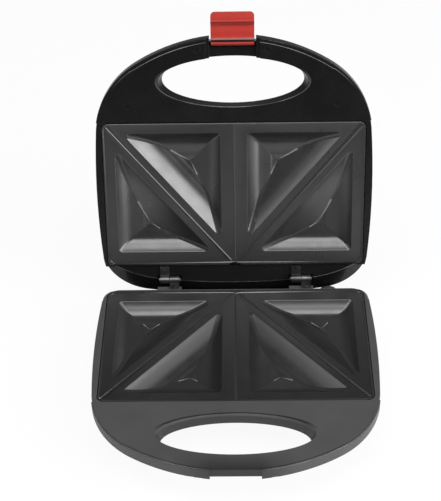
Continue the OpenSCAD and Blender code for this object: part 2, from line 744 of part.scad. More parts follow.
module foot_front_left() color([0.09, 0.09, 0.09]) in_base() foot(-1, foot_at[1]);
module foot_front_right() color([0.09, 0.09, 0.09]) in_base() foot(1, foot_at[1]);
module foot_rear_left() color([0.09, 0.09, 0.09]) in_base() foot(-1, foot_at[0]);
module foot_rear_right() color([0.09, 0.09, 0.09]) in_base() foot(1, foot_at[0]);

// ---------- Indicator lamps ----------

module lens(s) {
    translate([s * lens_x, lens_y, 0]) difference() {
        union() {
            translate([0, 0, pod_floor]) cylinder(d = lens_d, h = wall + 0.6);
            translate([0, 0, pod_floor - 1.2]) cylinder(d = lens_d + 2.4, h = 1.2);
            translate([0, 0, pod_floor - 4]) cylinder(d = lens_d, h = 4);
        }
        translate([0, 0, pod_floor - 5]) cylinder(d = 4 + 2 * run_fit, h = 6);
    }
}

module lamp(s) {
    translate([s * lens_x, lens_y, pod_floor + 0.9]) rotate([180, 0, 0]) {
        cylinder(d = 4, h = 8);
        for (x = [-1, 1]) translate([x, 0, 0]) cylinder(d = 0.6, h = 9.5);
    }
}

module power_lens() color([0.75, 0.12, 0.1]) in_lid() lens(1);
module ready_lens() color([0.2, 0.6, 0.25]) in_lid() lens(-1);
module power_lamp() color([0.9, 0.85, 0.75]) in_lid() lamp(1);
module ready_lamp() color([0.9, 0.85, 0.75]) in_lid() lamp(-1);

// ---------- Hinges ----------

// One leaf with its knuckle, screwed flat on the housing; s picks the side in the half frame
module leaf(s) {
    translate([s * hinge_x + leaf_x, 0, 0]) difference() {
        union() {
            rotate([0, 90, 0]) cylinder(d = knuckle_d, h = leaf_w, center = true);
            translate([-leaf_w / 2, 0, shelf_z - leaf_t]) cube([leaf_w, leaf_y, leaf_t]);
        }
        rotate([0, 90, 0]) cylinder(d = hinge_pin_d + 2 * run_fit, h = leaf_w + 2, center = true);
        translate([0, leaf_screw_y, 0]) cylinder(d = hinge_screw_d + 2 * run_fit, h = 10);
    }
}

module leaf_screws() {
    for (s = [-1, 1]) translate([s * hinge_x + leaf_x, leaf_screw_y, shelf_z - leaf_t]) {
        translate([0, 0, -1.1]) cylinder(d = hinge_screw_d + 1.9, h = 1.1);
        cylinder(d = hinge_screw_d, h = leaf_t + hinge_screw_l);
    }
}

// Pin with a flat head at each end
module hinge_pin(s) {
    translate([s * hinge_x, 0, 0]) rotate([0, 90, 0]) {
        cylinder(d = hinge_pin_d, h = 2 * leaf_w + 0.7, center = true);
        for (k = [0, 180]) rotate([k, 0, 0]) translate([0, 0, leaf_w + 0.35])
            cylinder(d = hinge_pin_d + 1.6, h = 0.9);
    }
}

module hinge_base_left() color([0.5, 0.5, 0.52]) in_base() leaf(-1);
module hinge_base_right() color([0.5, 0.5, 0.52]) in_base() leaf(1);
module hinge_lid_left() color([0.5, 0.5, 0.52]) in_lid() leaf(1);
module hinge_lid_right() color([0.5, 0.5, 0.52]) in_lid() leaf(-1);
module hinge_pin_left() color([0.7, 0.7, 0.72]) in_base() hinge_pin(-1);
module hinge_pin_right() color([0.7, 0.7, 0.72]) in_base() hinge_pin(1);
module hinge_base_screws() color([0.45, 0.45, 0.47]) in_base() leaf_screws();
module hinge_lid_screws() color([0.45, 0.45, 0.47]) in_lid() leaf_screws();

// ---------- Latch ----------

module latch_pin() color([0.7, 0.7, 0.72]) in_lid()
    translate([0, latch_pin_y, latch_pin_z]) rotate([0, 90, 0])
    cylinder(d = latch_pin_d, h = slot_w + 6.4, center = true);

// Plate that snaps over the base's bar, on a barrel clipped round its pin
module latch() color([0.78, 0.2, 0.17]) in_lid() translate([0, latch_pin_y, latch_pin_z]) difference() {
    union() {
        rotate([0, 90, 0]) cylinder(d = barrel_d, h = latch_w - 0.6, center = true);
        translate([0, 0, latch_plate_z - latch_pin_z]) linear_extrude(latch_t) {
            translate([-latch_w / 2, 0]) square([latch_w, latch_l - 3.5]);
            translate([-latch_w / 2 + 3.5, 0]) square([latch_w - 7, latch_l]);
            for (s = [-1, 1]) translate([s * (latch_w / 2 - 3.5), latch_l - 3.5]) circle(r = 3.5);
        }
        translate([-latch_w / 2, hook_from, latch_plate_z - latch_pin_z - hook_h])
            cube([latch_w, hook_to - hook_from, hook_h + 0.5]);
    }
    rotate([0, 90, 0]) cylinder(d = latch_pin_d + 2 * run_fit, h = latch_w + 2, center = true);
    translate([-latch_w, -0.6, -barrel_d]) cube([2 * latch_w, 2, barrel_d]);
}

base_shell();
base_grip_cover();
lower_plate();
lower_heater();
lower_shield();
lower_shield_screws();
lower_plate_screws();
base_grip_screws();
thermostat();
terminal_block();
cord_inlet();
foot_front_left();
foot_front_right();
foot_rear_left();
foot_rear_right();
hinge_base_left();
hinge_base_right();
hinge_pin_left();
hinge_pin_right();
hinge_base_screws();
lid_shell();
lid_grip_cover();
upper_plate();
upper_heater();
upper_shield();
upper_shield_screws();
upper_plate_screws();
lid_grip_screws();
thermal_fuse();
power_lens();
ready_lens();
power_lamp();
ready_lamp();
hinge_lid_left();
hinge_lid_right();
hinge_lid_screws();
latch_pin();
latch();
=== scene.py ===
import json
import math

import bmesh
import bpy
from mathutils import Matrix, Vector

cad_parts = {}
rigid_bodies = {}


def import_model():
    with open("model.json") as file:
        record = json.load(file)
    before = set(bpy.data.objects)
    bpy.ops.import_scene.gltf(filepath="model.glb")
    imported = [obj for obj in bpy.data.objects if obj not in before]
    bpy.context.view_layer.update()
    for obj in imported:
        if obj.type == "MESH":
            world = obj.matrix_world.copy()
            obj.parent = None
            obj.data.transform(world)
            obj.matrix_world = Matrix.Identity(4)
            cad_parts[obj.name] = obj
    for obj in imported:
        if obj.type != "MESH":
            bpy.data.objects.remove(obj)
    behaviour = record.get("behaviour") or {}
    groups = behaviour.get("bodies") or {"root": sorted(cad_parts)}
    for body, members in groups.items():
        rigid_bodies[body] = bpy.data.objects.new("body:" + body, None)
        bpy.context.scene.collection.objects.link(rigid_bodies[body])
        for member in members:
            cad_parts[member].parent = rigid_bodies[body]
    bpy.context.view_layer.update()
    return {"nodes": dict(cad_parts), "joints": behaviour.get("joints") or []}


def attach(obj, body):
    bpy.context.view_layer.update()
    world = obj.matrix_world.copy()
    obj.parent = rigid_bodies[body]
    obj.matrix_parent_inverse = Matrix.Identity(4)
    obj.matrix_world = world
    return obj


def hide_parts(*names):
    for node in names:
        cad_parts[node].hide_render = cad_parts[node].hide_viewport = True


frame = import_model()
nodes = frame["nodes"]


# ---------- Shader maths ----------

class Value:
    """A shader socket that can be added, multiplied and compared like a number."""

    def __init__(self, shader, socket):
        self.shader = shader
        self.socket = socket

    def math(self, operation, *values):
        return self.shader.math(operation, *values)

    def __add__(self, other):
        return self.math("ADD", self, other)

    __radd__ = __add__

    def __sub__(self, other):
        return self.math("SUBTRACT", self, other)

    def __rsub__(self, other):
        return self.math("SUBTRACT", other, self)

    def __mul__(self, other):
        return self.math("MULTIPLY", self, other)

    __rmul__ = __mul__

    def __truediv__(self, other):
        return self.math("DIVIDE", self, other)

    def __rtruediv__(self, other):
        return self.math("DIVIDE", other, self)

    def __gt__(self, other):
        return self.math("GREATER_THAN", self, other)

    def __lt__(self, other):
        return self.math("LESS_THAN", self, other)

    def __abs__(self):
        return self.math("ABSOLUTE", self)


# A Mix node has several sockets of one name, so the ones for colours go by number
MIX_SHARE, MIX_FIRST, MIX_SECOND = 0, 6, 7

SURFACE_SOCKETS = {
    "color": "Base Color", "rough": "Roughness", "metal": "Metallic", "normal": "Normal",
    "coat": "Coat Weight", "coat_rough": "Coat Roughness", "specular": "Specular IOR Level",
    "ior": "IOR", "transmission": "Transmission Weight",
}


class Shader:
    """The nodes of one material, or of the world, added one by one."""

    def __init__(self, owner):
        owner.use_nodes = True
        self.owner = owner
        self.tree = owner.node_tree
        self.tree.nodes.clear()

    def node(self, kind, settings=None, inputs=None):
        """Adds a node, sets it, fills or links its sockets and gives its outputs by name."""
        made = self.tree.nodes.new(kind)
        for key, value in (settings or {}).items():
            setattr(made, key, value)
        for key, value in (inputs or {}).items():
            socket = made.inputs[key]
            if isinstance(value, Value):
                self.tree.links.new(value.socket, socket)
            elif socket.type == "RGBA":
                socket.default_value = (*value, 1.0)
            else:
                socket.default_value = value
        return {out.name: Value(self, out) for out in made.outputs if out.enabled}

    def place(self):
        """Object coordinates: the place on the object, in metres."""
        return self.node("ShaderNodeTexCoord")["Object"]

    def math(self, operation, *values):
        return self.node("ShaderNodeMath", {"operation": operation}, dict(enumerate(values)))["Value"]

    def length(self, x, y):
        return self.math("SQRT", x * x + y * y)

    def near(self, value, wanted, slack):
        """1 where a value is the wanted one, give or take the slack, and 0 elsewhere."""
        return self.math("COMPARE", value, wanted, slack)

    def half_frame(self, body):
        """Place in a half's own frame, as three numbers."""
        standing = STANDING[body]
        there = self.node("ShaderNodeMapping", {"vector_type": "TEXTURE"},
                          {"Vector": self.place(), "Location": standing.translation,
                           "Rotation": standing.to_euler("XYZ")})["Vector"]
        parts = self.node("ShaderNodeSeparateXYZ", inputs={"Vector": there})
        return parts["X"], parts["Y"], parts["Z"]

    def noise(self, scale, detail=3.0, roughness=0.5, stretch=(1, 1, 1)):
        """Soft clouds, about as many to the metre as the scale says."""
        where = self.place()
        if stretch != (1, 1, 1):
            where = self.node("ShaderNodeMapping", inputs={"Vector": where, "Scale": stretch})["Vector"]
        return self.node("ShaderNodeTexNoise", inputs={"Vector": where, "Scale": scale, "Detail": detail,
                                                       "Roughness": roughness})["Fac"]

    def speckle(self, scale):
        """Round specks, about as many to the metre as the scale says."""
        return self.node("ShaderNodeTexVoronoi", inputs={"Vector": self.place(), "Scale": scale})["Distance"]

    def attribute(self, name):
        """What was marked on the mesh under this name."""
        return self.node("ShaderNodeAttribute", {"attribute_name": name})["Fac"]

    def spread(self, value, low, high, to_low=0.0, to_high=1.0):
        """Carries the range from low to high over to another one, and stops at its ends."""
        return self.node("ShaderNodeMapRange", inputs={"Value": value, "From Min": low, "From Max": high,
                                                       "To Min": to_low, "To Max": to_high})["Result"]

    def blend(self, share, first, second):
        """Mixes two colours."""
        return self.node("ShaderNodeMix", {"data_type": "RGBA"},
                         {MIX_SHARE: share, MIX_FIRST: first, MIX_SECOND: second})["Result"]

    def clouded(self, cloud, first, second, low=0.35, high=0.7):
        """Two colours that pass into each other with a noise's clouds."""
        return self.blend(self.spread(cloud, low, high), first, second)

    def uneven(self, cloud, low, high):
        """A roughness that goes from low to high with a noise's clouds."""
        return self.spread(cloud, 0.3, 0.7, low, high)

    def bump(self, height, strength, distance, edge):
        """Fine relief, on edges that look rounded by the given radius."""
        rounded = self.node("ShaderNodeBevel", {"samples": 4}, {"Radius": edge})["Normal"]
        return self.node("ShaderNodeBump", inputs={"Height": height, "Strength": strength,
                                                   "Distance": distance, "Normal": rounded})["Normal"]

    def surface(self, **inputs):
        """Ends a material in one surface shader."""
        named = {SURFACE_SOCKETS[key]: value for key, value in inputs.items()}
        shaded = self.node("ShaderNodeBsdfPrincipled", inputs=named)["BSDF"]
        self.node("ShaderNodeOutputMaterial", inputs={"Surface": shaded})
        return self.owner


def new_material(name):
    return Shader(bpy.data.materials.new(name))


def grey(level):
    return level, level, level


# ---------- The two halves ----------

# A half's own frame: x across, y from the hinge's axis to the grip, z from the closing plane into the half.
# These carry it to where the half stands.
lid_hinge = next(joint for joint in frame["joints"] if joint["name"] == "lid_hinge")
TO_HINGE = Matrix.Translation(lid_hinge["pos_m"])
OPEN_ANGLE = math.radians(max(lid_hinge["range_deg"]))
STANDING = {
    "base": TO_HINGE @ Matrix.Rotation(math.pi, 4, "X"),
    "lid": TO_HINGE @ Matrix.Rotation(-OPEN_ANGLE, 4, "X") @ Matrix.Rotation(math.pi, 4, "Z"),
}


def select_only(piece):
    """Selects one piece and makes it the active one."""
    bpy.ops.object.select_all(action="DESELECT")
    piece.select_set(True)
    bpy.context.view_layer.objects.active = piece


def move_mesh(piece, matrix):
    """Moves a piece's mesh and leaves its object at the origin."""
    select_only(piece)
    piece.matrix_world = matrix
    bpy.ops.object.transform_apply(location=True, rotation=True, scale=True)


def lay_down(piece, body):
    """Brings a half's piece into that half's own frame for modelling."""
    move_mesh(piece, STANDING[body].inverted())


def stand_up(piece, body):
    """Puts a half's piece back to where it stands."""
    move_mesh(piece, STANDING[body])


def copy_of(node, name):
    """A CAD node's copy, free to be changed."""
    select_only(nodes[node])
    bpy.ops.object.duplicate()
    piece = bpy.context.object
    piece.name = name
    # The frame's own marks belong to the node alone
    for key in list(piece.keys()):
        del piece[key]
    bpy.ops.object.parent_clear(type="CLEAR_KEEP_TRANSFORM")
    return piece


def edit(piece, action):
    """Opens a piece for editing, with all of it selected or none of it, as the action says."""
    select_only(piece)
    bpy.ops.object.mode_set(mode="EDIT")
    bpy.ops.mesh.select_all(action=action)


def put_in_place(piece, node, body):
    """The piece stands for the CAD node and moves with the body."""
    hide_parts(node)
    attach(piece, body)
    return piece


# ---------- Cooking plates: sizes in metres, in a half's own frame ----------

PLATE_W, PLATE_L = 0.226, 0.132
# From the hinge's axis to the plate's back edge
PLATE_BACK = 0.014
# Levels of the flats, of the tops of the rim and the cutting lines, and of a pocket's deepest face in the CAD
FLAT, RIM_TOP, POCKET_END = 0.0013, 0.0005, 0.0135
# Differences under which places count as the same
MERGED, BELOW_FLAT, SAME_LEVEL = 5e-6, 1e-5, 2e-5
SMOOTH_ANGLE = math.radians(34)

# The pockets' outlines: how far each edge lies in from the plate's edge, its middle line or its diagonal
BACK_MARGIN, SIDE_MARGIN, FRONT_MARGIN = 0.0124, 0.0098, 0.0090
MIDDLE_MARGIN, DIAGONAL_MARGIN = 0.0112, 0.0068
DIAGONAL = math.atan2(PLATE_L, PLATE_W / 2)
BACKWARDS, FORWARDS, OUTWARDS, INWARDS = -math.pi / 2, math.pi / 2, 0.0, math.pi
# From the diagonal into the back pocket, and into the front one
OFF_DIAGONAL = (DIAGONAL - math.pi / 2, DIAGONAL + math.pi / 2)
# The back pocket and the front one, each three edges: the direction into the pocket and the distance along it
POCKETS = (
    ((FORWARDS, BACK_MARGIN), (INWARDS, SIDE_MARGIN - PLATE_W / 2), (OFF_DIAGONAL[0], DIAGONAL_MARGIN)),
    ((OUTWARDS, MIDDLE_MARGIN), (OFF_DIAGONAL[1], DIAGONAL_MARGIN), (BACKWARDS, FRONT_MARGIN - PLATE_L)),
)
OUTLINE_SLACK = 0.0004

# A pocket's wall: a round lip, a steep start, an even slope and then the floor, which still falls a little
LIP_START, LIP_ROUNDING = 0.0002, 0.0004
START_SLOPE, START_FADE = 0.5, 0.002
WALL_SLOPE, WALL_END, WALL_FADE = 0.6, 0.0105, 0.0024
FLOOR_SLOPE = 0.15
# The rings that draw it, by their distance in from the edge; the pocket's deepest point comes after the last
LIP_RINGS = (LIP_START, 0.0004, 0.0007, 0.0011, 0.0017)
FIRST_WALL_RING, WALL_RING_STEP, WALL_RINGS, LAST_RING = 0.0026, 0.001, 16, 0.0215
# The rings move off the diagonal, so that its wall is wider than the others
DIAGONAL_SHIFT, SHIFT_END = 0.0030, 0.013
# How far each pocket's deepest point stands off the middle, and where the rings start to move there
APEX = ((-0.0020, -0.0030), (0.0, -0.0023))
APEX_START = 0.006

# The rim's width at its sides and front, and at its back, and how far its top's inner edge moves outwards
RIM_W, RIM_BACK_W, RIM_LEAN, RIM_SLACK = 0.0018, 0.0026, 0.0006, 0.00015
# Half a cutting line's width, and what the diagonal lines leave out at the plate's back and front
LINE_HALF = 0.00095
DIAGONAL_START, DIAGONAL_STOP = 0.004, 0.001
# The level of the lines' tops, or of the grooves' bottoms, and the share of their width that these keep
LINE_LEVEL = {"base": 0.0023, "lid": 0.0007}
DIAGONAL_KEEPS = {"base": 0.75, "lid": 0.25}
MIDDLE_KEEPS = 0.25
# Where painted shade and painted highlights are marked: the levels of the grooves and of the lines' sides,
# how upright such a side may be, and the lower plate's rim, from its edge inwards and downwards
GROOVE_FROM, GROOVE_TO = 0.0014, 0.0024
SIDE_FROM, SIDE_FLATTEST, SIDE_STEEPEST = 0.0004, 0.97, 0.2
RIM_EDGE, RIM_FOOT = 0.0013, 0.004

# The creases that get a painted highlight in the back pocket and the front one: the two edges that meet in
# the crease's corner, and its length from the deepest point
CREASES = {
    "lid": (((1, 2, 0.019), (2, 0, 0.013)), ((0, 1, 0.018), (1, 2, 0.018))),
    "base": (((0, 1, 0.010), (2, 0, 0.013)), ((1, 2, 0.014), (2, 0, 0.010))),
}
# How far under the flats creases lie, half their width, the angle that they may stray, and how much they fade
CREASE_TOP, CREASE_BOTTOM = 0.0078, 0.013
CREASE_HALF, CREASE_ANGLE = 0.0008, 0.12
CREASE_FADE = 0.5
# Faces along a crease are small: this area, and this much more for each metre from the deepest point
CREASE_FACE, CREASE_FACE_GROWTH = 1.1e-6, 1.1e-4


def edge_distance(edge, x, y):
    """Distance in from one edge of a pocket's outline."""
    return x * math.cos(edge[0]) + (y - PLATE_BACK) * math.sin(edge[0]) - edge[1]


def within(pocket, side, point):
    """Whether a point lies in a pocket's outline, where side is 1 for positive x and -1 for negative x."""
    return all(edge_distance(edge, side * point.x, point.y) > -OUTLINE_SLACK for edge in pocket)


def deepest(pocket):
    """The point as far from one edge as from the others, and that distance."""
    rows = Matrix([(math.cos(angle), math.sin(angle), -1.0) for angle, _ in pocket])
    x, y, reach = rows.inverted() @ Vector([distance for _, distance in pocket])
    return x, y + PLATE_BACK, reach


def corner_of(edges):
    """The point where two edges meet."""
    rows = Matrix([(math.cos(angle), math.sin(angle)) for angle, _ in edges])
    x, y = rows.inverted() @ Vector([distance for _, distance in edges])
    return Vector((x, y + PLATE_BACK))


def wall_slope(inset):
    """Steepness of a pocket at a distance in from its edge."""
    if inset < LIP_START:
        return 0.0
    wall = WALL_SLOPE / (1 + math.exp((inset - WALL_END) / WALL_FADE))
    start = START_SLOPE * math.exp(-inset / START_FADE)
    return FLOOR_SLOPE + (wall + start) * (1 - math.exp(-inset / LIP_ROUNDING))


def depths(insets):
    """Depth below the flats at each of these distances in from the edge."""
    steps = 20
    found, inset, depth = [], 0.0, 0.0
    for wanted in insets:
        step = (wanted - inset) / steps
        depth += sum(wall_slope(inset + step * (k + 0.5)) * step for k in range(steps))
        inset = wanted
        found.append((wanted, depth))
    return found


def shift_at(inset, reach):
    """How far the ring at a distance in from the edge is moved off the diagonal."""
    return DIAGONAL_SHIFT * min(1.0, inset / SHIFT_END) * min(1.0, (reach - inset) / (reach - SHIFT_END))


def select_outline(piece, pocket, side):
    """Selects the open edges round one pocket."""
    edit(piece, "DESELECT")
    bpy.ops.mesh.select_mode(type="EDGE")
    shape = bmesh.from_edit_mesh(piece.data)
    for edge in shape.edges:
        middle = (edge.verts[0].co + edge.verts[1].co) / 2
        if edge.is_boundary and within(pocket, side, middle):
            edge.select = True
    bmesh.update_edit_mesh(piece.data)


def draw_pocket(piece, pocket, side, diagonal, apex):
    """Draws one pocket's open edge inwards and down, ring by ring, and closes it in a point."""
    x, y, reach = deepest(pocket)
    away = Vector((side * math.cos(diagonal), math.sin(diagonal)))
    apex = Vector((side * apex[0], apex[1]))
    wall_rings = [FIRST_WALL_RING + WALL_RING_STEP * k for k in range(WALL_RINGS)]
    select_outline(piece, pocket, side)
    depth, scale, shift = 0.0, 1.0, Vector((0, 0))
    for inset, lower in depths([*LIP_RINGS, *wall_rings, LAST_RING, reach]):
        smaller = 1 - inset / reach
        further = away * shift_at(inset, reach) + apex * max(0.0, (inset - APEX_START) / (reach - APEX_START))
        bpy.ops.mesh.extrude_region_move()
        centre = (side * x + shift.x, y + shift.y, 0)
        bpy.ops.transform.resize(value=(smaller / scale, smaller / scale, 1), center_override=centre)
        move = further - shift
        bpy.ops.transform.translate(value=(move.x, move.y, lower - depth))
        depth, scale, shift = lower, smaller, further
    bpy.ops.mesh.merge(type="CENTER")
    bpy.ops.object.mode_set(mode="OBJECT")


def slope_lines(piece, body):
    """Slopes the rim and the cutting lines, and sinks the lower plate's lines into grooves."""
    across = Vector((-math.sin(DIAGONAL), math.cos(DIAGONAL), 0))
    side, back, front = PLATE_W / 2 - RIM_W, PLATE_BACK + RIM_BACK_W, PLATE_BACK + PLATE_L - RIM_W
    for vertex in piece.data.vertices:
        place = vertex.co
        if abs(place.z - RIM_TOP) > SAME_LEVEL:
            continue
        local = Vector((abs(place.x), place.y - PLATE_BACK, 0))
        off = local.dot(across)
        if abs(place.x) < LINE_HALF:
            place.x *= MIDDLE_KEEPS
            place.z = LINE_LEVEL[body]
        elif abs(off) < LINE_HALF and DIAGONAL_START < local.y < PLATE_L - DIAGONAL_STOP:
            local = local - across * off * (1 - DIAGONAL_KEEPS[body])
            place.x, place.y = math.copysign(local.x, place.x), local.y + PLATE_BACK
            place.z = LINE_LEVEL[body]
        if abs(abs(place.x) - side) < RIM_SLACK:
            place.x += math.copysign(RIM_LEAN, place.x)
        if abs(place.y - back) < RIM_SLACK:
            place.y -= RIM_LEAN
        if abs(place.y - front) < RIM_SLACK:
            place.y += RIM_LEAN


def mark_creases(piece, body):
    """Marks the creases between the floor's slopes, which get a painted highlight."""
    marks = piece.data.attributes.new("painted_highlight", "FLOAT", "FACE")
    for face in piece.data.polygons:
        middle = face.center
        if not FLAT + CREASE_TOP < middle.z < FLAT + CREASE_BOTTOM or face.normal.z > 0:
            continue
        for pocket, apex, creases in zip(POCKETS, APEX, CREASES[body]):
            x, y, _ = deepest(pocket)
            bottom = Vector((x + apex[0], y + apex[1]))
            spoke = Vector((abs(middle.x), middle.y)) - bottom
            narrow = face.area < CREASE_FACE + spoke.length * CREASE_FACE_GROWTH
            slack = CREASE_ANGLE + CREASE_HALF / max(spoke.length, 0.001)
            for first, second, length in creases:
                corner = corner_of((pocket[first], pocket[second])) - bottom
                if narrow and spoke.length < length and spoke.angle(corner, math.pi) < slack:
                    marks.data[face.index].value = 1.0 - CREASE_FADE * spoke.length / length


def mark_lines(piece, body):
    """Marks painted shade and painted highlights on the cutting lines' sides, the lower plate's grooves and
    its rim: 1 is painted shade, black, and -1 a painted highlight, bright.
    """
    marks = piece.data.attributes.new("shade_and_highlight", "FLOAT", "FACE")
    across = Vector((-math.sin(DIAGONAL), math.cos(DIAGONAL)))
    lower = body == "base"
    for face in piece.data.polygons:
        x, y, z = face.center
        off = Vector((abs(x), y - PLATE_BACK)).dot(across)
        outside = max(abs(x) - PLATE_W / 2, abs(y - PLATE_BACK - PLATE_L / 2) - PLATE_L / 2)
        # Painted shade in the gap round the lower plate's rim
        if lower and outside > -RIM_EDGE and z < RIM_FOOT:
            marks.data[face.index].value = 1.0
        in_groove = lower and GROOVE_FROM < z < GROOVE_TO
        on_side = SIDE_FROM < z < FLAT and SIDE_STEEPEST < abs(face.normal.z) < SIDE_FLATTEST
        if not in_groove and not on_side:
            continue
        # Painted shade on the lower plate's lines and grooves and on the upper plate's sides turned from the
        # light, a painted highlight on its other sides at positive x, and half painted shade on the middle
        # line
        if abs(off) < LINE_HALF and y < PLATE_BACK + PLATE_L - DIAGONAL_STOP:
            if lower or face.normal.x > 0:
                marks.data[face.index].value = 1.0
            elif x > 0:
                marks.data[face.index].value = -0.5
        elif abs(x) < LINE_HALF:
            marks.data[face.index].value = 0.5


def open_pockets(piece):
    """Takes out the CAD's pockets, which leaves their outlines as open edges."""
    edit(piece, "DESELECT")
    bpy.ops.mesh.select_mode(type="FACE")
    shape = bmesh.from_edit_mesh(piece.data)
    for face in shape.faces:
        middle = face.calc_center_median()
        towards_opening = face.normal.z < 0.05
        if FLAT + BELOW_FLAT < middle.z < POCKET_END and towards_opening:
            face.select = any(within(pocket, side, middle) for pocket in POCKETS for side in (-1, 1))
    bmesh.update_edit_mesh(piece.data)
    bpy.ops.mesh.delete(type="FACE")
    bpy.ops.object.mode_set(mode="OBJECT")


def cast_plate(node, body, name):
    """The coated plate: flats, rim and cutting lines from the CAD, pockets drawn inwards ring by ring."""
    piece = copy_of(node, name)
    edit(piece, "SELECT")
    bpy.ops.mesh.remove_doubles(threshold=MERGED)
    bpy.ops.object.mode_set(mode="OBJECT")
    lay_down(piece, body)
    open_pockets(piece)
    for pocket, diagonal, apex in zip(POCKETS, OFF_DIAGONAL, APEX):
        for side in (-1, 1):
            draw_pocket(piece, pocket, side, diagonal, apex)
    slope_lines(piece, body)
    edit(piece, "SELECT")
    bpy.ops.mesh.normals_make_consistent(inside=False)
    bpy.ops.object.mode_set(mode="OBJECT")
    mark_creases(piece, body)
    mark_lines(piece, body)
    stand_up(piece, body)
    select_only(piece)
    bpy.ops.object.shade_smooth_by_angle(angle=SMOOTH_ANGLE)
    even = piece.modifiers.new("even_shading", "WEIGHTED_NORMAL")
    even.keep_sharp = True
    bpy.ops.object.modifier_apply(modifier="even_shading")
    return put_in_place(piece, node, body)


lower_cast = cast_plate("lower_plate", "base", "lower_cast_plate")
upper_cast = cast_plate("upper_plate", "lid", "upper_cast_plate")
lower_cast = lower_cast
upper_cast = upper_cast


# ---------- Grips and housings, with their hand hole ----------

# The hand hole in the CAD: an oval of two long arcs and two round ends, in the half's frame
HOLE_Y, HOLE_X_HALF, HOLE_Y_HALF, HOLE_END_R = 0.1822, 0.0627, 0.0213, 0.0144
# Its wall and rounded edges lie within this distance of the oval
HOLE_BAND = 0.0011
# Half the width of the ellipse that is drawn instead, at the grip's front and back, and where these are
FRONT_HALF, BACK_HALF = 0.0638, 0.0606
GRIP_FRONT, GRIP_THICKNESS = 0.0005, 0.011


def hole_distance(x, y):
    """Distance outwards from the oval's edge."""
    x, y = abs(x), abs(y)
    centre = HOLE_X_HALF - HOLE_END_R
    less = HOLE_Y_HALF - HOLE_END_R
    drop = (centre ** 2 - less ** 2) / (2 * less)
    if (x - centre) * drop > y * centre:
        return math.hypot(x - centre, y) - HOLE_END_R
    return math.hypot(x, y + drop) - HOLE_Y_HALF - drop


def rounded_hole(node, body, name):
    """A grip's part with its hand hole drawn as an ellipse that narrows a little towards the back."""
    piece = copy_of(node, name)
    lay_down(piece, body)
    for vertex in piece.data.vertices:
        place = vertex.co
        off = hole_distance(place.x, place.y - HOLE_Y)
        if abs(off) > HOLE_BAND:
            continue
        share = min(1.0, max(0.0, (place.z - GRIP_FRONT) / GRIP_THICKNESS))
        half = FRONT_HALF + (BACK_HALF - FRONT_HALF) * share
        turn = math.atan2((place.y - HOLE_Y) / HOLE_Y_HALF, place.x / HOLE_X_HALF)
        on_edge = Vector((half * math.cos(turn), HOLE_Y_HALF * math.sin(turn)))
        place.x, place.y = on_edge * (1 + off / on_edge.length) + Vector((0, HOLE_Y))
    stand_up(piece, body)
    return put_in_place(piece, node, body)


base_grip = rounded_hole("base_grip_cover", "base", "base_grip_look")
lid_grip = rounded_hole("lid_grip_cover", "lid", "lid_grip_look")
base_housing = rounded_hole("base_shell", "base", "base_shell_look")
lid_housing = rounded_hole("lid_shell", "lid", "lid_shell_look")


# ---------- Latch ----------

LATCH_WIDENING = 1.02
LATCH_END_FROM, LATCH_END_DROP = 0.2365, 0.0013
LATCH_STEP_FROM, LATCH_STEP_TO, LATCH_STEP_RISE = 0.2285, 0.2325, 0.0012


def fitted_latch():
    """The latch, a little wider in its slot, with its step moved outwards and its end inwards."""
    piece = copy_of("latch", "latch_look")
    lay_down(piece, "lid")
    bpy.ops.transform.resize(value=(LATCH_WIDENING, 1, 1), center_override=(0, 0, 0))
    bpy.ops.object.transform_apply(location=True, rotation=True, scale=True)
    for vertex in piece.data.vertices:
        if vertex.co.y > LATCH_END_FROM:
            vertex.co.y -= LATCH_END_DROP
        elif LATCH_STEP_FROM < vertex.co.y < LATCH_STEP_TO:
            vertex.co.y += LATCH_STEP_RISE
    stand_up(piece, "lid")
    return put_in_place(piece, "latch", "latch")


latch_look = fitted_latch()


# ---------- Painted highlights, painted shade and darker lines on the plastic ---

# Outlines in the half's frame: the end of the big arc, its radius, and the corner arc's centre and radius.
# The lid's shelf bulges the other way, past the hinge, so its outline has y the other way round.
GRIP_OUTLINE = (0.2203, 0.1575, 0.046, 0.1331, 0.074)
SHELF_OUTLINE = (0.004, 0.6, 0.0572, -0.0943, 0.095)
# How far the rounding of the hand hole's edge reaches
HOLE_ROUNDING = 0.0005


def arc_depth(s, x, y, end, big_r, corner_x, corner_y, corner_r):
    """Depth inside an outline of one big arc and a corner arc on each side of it."""
    aside = abs(x) - corner_x
    beyond = y - corner_y
    big_y = end - big_r
    big = big_r - s.length(x, y - big_y)
    small = corner_r - s.length(aside, beyond)
    in_corner = aside * (corner_y - big_y) > beyond * corner_x
    return big + (small - big) * in_corner


def hole_reach(s, x, y):
    """How far out from the middle of the hand hole, with 1 at its rounded edge."""
    return s.length(x / (FRONT_HALF + HOLE_ROUNDING), (y - HOLE_Y) / (HOLE_Y_HALF + HOLE_ROUNDING))


def highlight_patches(s):
    """Share of an edge's painted highlight, which comes and goes along it."""
    return s.spread(s.noise(30.0, detail=3.0, roughness=0.6), 0.35, 0.65, to_low=0.25)


def lid_painted_highlights(s):
    """Painted highlights along the lid's edges: the grip's outline, the hand hole's hinge side and the shelf.
    """
    x, y, z = s.half_frame("lid")
    on_front = z < 0.0009
    on_shelf = (z < 0.0042) * (z > 0.0024)
    hinge_side = s.spread(y, HOLE_Y - 0.012, HOLE_Y + 0.012, 1.0, 0.0)
    along_outline = s.near(arc_depth(s, x, y, *GRIP_OUTLINE), wanted=0.0026, slack=0.0003)
    along_hole = s.near(hole_reach(s, x, y), wanted=1.012, slack=0.012)
    along_shelf = s.near(arc_depth(s, x, 0 - y, *SHELF_OUTLINE), wanted=0.0, slack=0.0004)
    on_grip = along_outline * s.spread(y, 0.175, 0.2) + along_hole * hinge_side
    # Painted highlights along the grip's outline, the hand hole's edge and the shelf's edge, in pale grey
    painted_highlight = on_grip * on_front + along_shelf * on_shelf
    return [(painted_highlight * highlight_patches(s), grey(0.17))]


